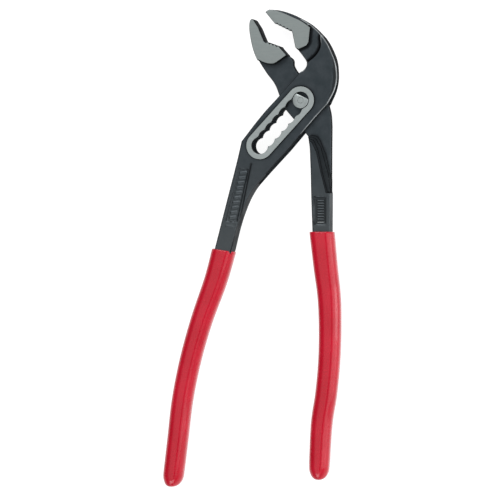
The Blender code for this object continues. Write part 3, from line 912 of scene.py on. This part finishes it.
class Nodes:
    """Short ways to add and join shader nodes."""

    def __init__(self, name):
        self.material = bpy.data.materials.new(name)
        self.material.use_nodes = True
        self.tree = self.material.node_tree
        self.shader = self.tree.nodes["Principled BSDF"]
        self.place = self.tree.nodes.new("ShaderNodeTexCoord").outputs["Object"]

    def mapped(self, scale, turn=0.0):
        node = self.tree.nodes.new("ShaderNodeMapping")
        node.inputs["Scale"].default_value = scale
        node.inputs["Rotation"].default_value = (0, 0, turn)
        self.tree.links.new(self.place, node.inputs["Vector"])
        return node.outputs["Vector"]

    def noise(self, scale, detail=3.0, vector=None, roughness=0.55):
        node = self.tree.nodes.new("ShaderNodeTexNoise")
        node.inputs["Scale"].default_value = scale
        node.inputs["Detail"].default_value = detail
        node.inputs["Roughness"].default_value = roughness
        self.tree.links.new(vector or self.place, node.inputs["Vector"])
        return node.outputs["Fac"]

    def spread(self, value, low, high, to_low, to_high):
        node = self.tree.nodes.new("ShaderNodeMapRange")
        numbers = {"From Min": low, "From Max": high, "To Min": to_low, "To Max": to_high}
        for name, number in numbers.items():
            node.inputs[name].default_value = number
        self.tree.links.new(value, node.inputs["Value"])
        return node.outputs["Result"]

    def blend(self, share, first, second):
        node = self.tree.nodes.new("ShaderNodeMix")
        node.data_type = "RGBA"
        self.tree.links.new(share, node.inputs["Factor"])
        for socket, color in ((node.inputs["A"], first), (node.inputs["B"], second)):
            if isinstance(color, tuple):
                socket.default_value = (*color, 1.0)
            else:
                self.tree.links.new(color, socket)
        return node.outputs["Result"]

    def bump(self, value, distance, strength, before=None):
        node = self.tree.nodes.new("ShaderNodeBump")
        node.inputs["Distance"].default_value = distance
        node.inputs["Strength"].default_value = strength
        self.tree.links.new(value, node.inputs["Height"])
        if before is not None:
            self.tree.links.new(before, node.inputs["Normal"])
        return node.outputs["Normal"]

    def painted(self, label):
        """A value that the mesh carries at its points."""
        node = self.tree.nodes.new("ShaderNodeAttribute")
        node.attribute_name = label
        return node.outputs["Fac"]

    def times(self, first, second):
        node = self.tree.nodes.new("ShaderNodeMath")
        node.operation = "MULTIPLY"
        self.tree.links.new(first, node.inputs[0])
        self.tree.links.new(second, node.inputs[1])
        return node.outputs["Value"]

    def upright(self):
        """1 on side walls, 0 on faces that look up or down."""
        normal = self.tree.nodes.new("ShaderNodeTexCoord").outputs["Normal"]
        parts = self.tree.nodes.new("ShaderNodeSeparateXYZ")
        size = self.tree.nodes.new("ShaderNodeMath")
        size.operation = "ABSOLUTE"
        self.tree.links.new(normal, parts.inputs["Vector"])
        self.tree.links.new(parts.outputs["Z"], size.inputs[0])
        return self.spread(size.outputs["Value"], 0.5, 0.92, 1.0, 0.0)

    def along_y(self):
        parts = self.tree.nodes.new("ShaderNodeSeparateXYZ")
        self.tree.links.new(self.place, parts.inputs["Vector"])
        return parts.outputs["Y"]

    def between(self, share, first, second):
        """A value that goes from one socket's to a fixed number."""
        node = self.tree.nodes.new("ShaderNodeMix")
        node.inputs["B"].default_value = second
        self.tree.links.new(share, node.inputs["Factor"])
        self.tree.links.new(first, node.inputs["A"])
        return node.outputs["Result"]

    def into(self, name, value):
        self.tree.links.new(value, self.shader.inputs[name])

    def fixed(self, **values):
        for name, value in values.items():
            self.shader.inputs[name.replace("_", " ")].default_value = value


def blackened_steel():
    """Forged steel with a black oxide skin: faint mottling, fine scale, painted highlights on edges,
    painted shade on side walls and in folds, and a painted sheen towards the grips.
    """
    nodes = Nodes("blackened_forged_steel")
    skin = nodes.blend(nodes.spread(nodes.noise(140, 4), 0.3, 0.7, 0, 1), BLACK_DARK, BLACK_LIGHT)
    # painted sheen: the black is painted paler towards the grips
    skin = nodes.blend(nodes.spread(nodes.along_y(), -0.090, -0.020, 1.0, 0.0), skin, BLACK_PAINTED_SHEEN)
    # painted shade: side walls darker
    skin = nodes.blend(nodes.upright(), skin, BLACK_SHADED_WALL)
    # painted shade at steps and in folds, from the values the mesh carries
    skin = nodes.blend(nodes.painted("painted_shade"), skin, BLACK_PAINTED_SHADE)
    # painted highlights on edges, from the values the mesh carries, a little uneven
    highlight_share = nodes.times(nodes.painted("painted_highlight"), nodes.spread(nodes.noise(90, 2), 0.3, 0.6, 0.4, 1.0))
    skin = nodes.blend(highlight_share, skin, BLACK_PAINTED_HIGHLIGHT)
    nodes.into("Base Color", skin)
    satin = nodes.spread(nodes.noise(420, 3), 0.3, 0.7, 0.38, 0.52)
    nodes.into("Roughness", nodes.between(nodes.upright(), satin, WALL_ROUGHNESS))
    grain = nodes.bump(nodes.noise(2600, 2), 0.00005, 0.35)
    nodes.into("Normal", nodes.bump(nodes.noise(500, 3), 0.00010, 0.20, grain))
    nodes.fixed(Metallic=0.85, Specular_IOR_Level=0.3, Specular_Tint=(0.3, 0.3, 0.3, 1.0))
    return nodes.material


def ground_steel(name, dark, light):
    """Bare steel from the surface grinder: fine parallel lines and a soft sheen."""
    nodes = Nodes(name)
    lines = nodes.noise(1, 3, nodes.mapped((220, 5200, 40), math.radians(-20)))
    face = nodes.blend(nodes.spread(lines, 0.3, 0.7, 0, 1), dark, light)
    # side walls painted darker, as painted shade
    nodes.into("Base Color", nodes.blend(nodes.upright(), face, STEEL_SHADED_WALL))
    nodes.into("Roughness", nodes.spread(lines, 0.3, 0.7, 0.36, 0.50))
    nodes.into("Normal", nodes.bump(lines, 0.00003, 0.25))
    nodes.fixed(Metallic=0.85)
    return nodes.material


def dipped_plastic():
    """Glossy red dip: slightly uneven thickness, a faint orange peel and a clear top."""
    nodes = Nodes("red_dipped_plastic_coat")
    base = nodes.blend(nodes.spread(nodes.noise(45, 2), 0.3, 0.7, 0, 1), RED_DARK, RED_LIGHT)
    nodes.into("Base Color", base)
    nodes.into("Roughness", nodes.spread(nodes.noise(160, 3), 0.3, 0.7, 0.22, 0.32))
    peel = nodes.bump(nodes.noise(900, 2), 0.00004, 0.18)
    nodes.into("Normal", nodes.bump(nodes.noise(90, 2), 0.0003, 0.15, peel))
    nodes.fixed(Specular_IOR_Level=0.22, Coat_Weight=0.4, Coat_Roughness=0.07)
    return nodes.material


# ---- stage, light and camera ----

def pale_floor():
    mesh = bpy.data.meshes.new("pale_floor")
    reach = 6.0
    corners = [(-reach, -reach, 0), (reach, -reach, 0), (reach, reach, 0), (-reach, reach, 0)]
    mesh.from_pydata(corners, [], [(0, 1, 2, 3)])
    nodes = Nodes("pale_floor")
    nodes.fixed(Base_Color=(0.28, 0.28, 0.28, 1.0), Roughness=0.9, Specular_IOR_Level=0.1,
                Emission_Color=(1.0, 1.0, 1.0, 1.0), Emission_Strength=0.92)
    item = new_piece("pale_floor", mesh, nodes.material)
    item.location.z = -0.0005


def area_light(name, place, target, size, power):
    light = bpy.data.lights.new(name, "AREA")
    light.shape = "RECTANGLE"
    light.size, light.size_y = size
    light.energy = power
    item = bpy.data.objects.new(name, light)
    item.location = place
    item.rotation_mode = "QUATERNION"
    item.rotation_quaternion = (Vector(target) - Vector(place)).to_track_quat("-Z", "Y")
    item.visible_camera = False
    bpy.context.scene.collection.objects.link(item)


def grey_ramp(tree, value, levels):
    """Grey levels that follow a value, from pairs of a place from 0 to 1 and a level there."""
    node = tree.nodes.new("ShaderNodeValToRGB")
    tree.links.new(value, node.inputs["Fac"])
    stops = node.color_ramp.elements
    stops[0].color = (levels[0][1],) * 3 + (1.0,)
    stops[1].color = (levels[-1][1],) * 3 + (1.0,)
    for place, level in levels[1:-1]:
        stops.new(place).color = (level, level, level, 1.0)
    return node.outputs["Color"]


def sky():
    """Overhead panels with a dark gap between them, a bright horizon and a dark left side."""
    world = bpy.data.worlds.new("studio")
    bpy.context.scene.world = world
    world.use_nodes = True
    tree = world.node_tree
    background = tree.nodes["Background"]
    place = tree.nodes.new("ShaderNodeTexCoord").outputs["Generated"]
    parts = tree.nodes.new("ShaderNodeSeparateXYZ")
    tree.links.new(place, parts.inputs["Vector"])
    by_height = grey_ramp(tree, parts.outputs["Z"], SKY_BY_HEIGHT)
    from_left = tree.nodes.new("ShaderNodeMapRange")
    from_left.inputs["From Min"].default_value = -1.0
    tree.links.new(parts.outputs["X"], from_left.inputs["Value"])
    by_side = grey_ramp(tree, from_left.outputs["Result"], SKY_BY_SIDE)
    tree.links.new(by_height, background.inputs["Color"])
    tree.links.new(by_side, background.inputs["Strength"])


def studio():
    """The sky, a soft box above each end of the tool, and two lights from the right."""
    sky()
    for name, place, size, power in AREA_LIGHTS:
        area_light(name, place, LIGHT_TARGET, size, power)
    bpy.context.scene.view_settings.view_transform = "Standard"


def camera():
    data = bpy.data.cameras.new("camera")
    data.lens = CAMERA_LENS
    data.sensor_width = 36.0
    data.clip_start, data.clip_end = 0.05, 50.0
    item = bpy.data.objects.new("camera", data)
    back = Vector((math.sin(CAMERA_TILT), 0, math.cos(CAMERA_TILT)))
    up = Vector((0, 1, 0))
    axes = Matrix((up.cross(back), up, back)).transposed()
    item.matrix_world = Matrix.LocRotScale(CAMERA_TARGET + back * CAMERA_DISTANCE, axes, None)
    bpy.context.scene.collection.objects.link(item)
    bpy.context.scene.camera = item


camera()
studio()
pale_floor()
black, red = blackened_steel(), dipped_plastic()
jaw_steel = ground_steel("ground_jaw_steel", JAW_DARK, JAW_LIGHT)
# painted highlight: a brighter copy of the ground steel for the ring, studs and rivet
ring_steel = ground_steel("ground_ring_steel", RING_DARK, RING_LIGHT)
slotted_lever(black, jaw_steel, ring_steel)
passing_lever(black, jaw_steel)
studs_and_rivet(ring_steel)
grip("left_grip_dip", LEFT_GRIP, LEFT_COLLAR, 1.4, "left_grip_sleeve", "slotted_lever_body", red)
grip("right_grip_dip", RIGHT_GRIP, RIGHT_COLLAR, 0.0, "right_grip_sleeve", "passing_lever_body", red)
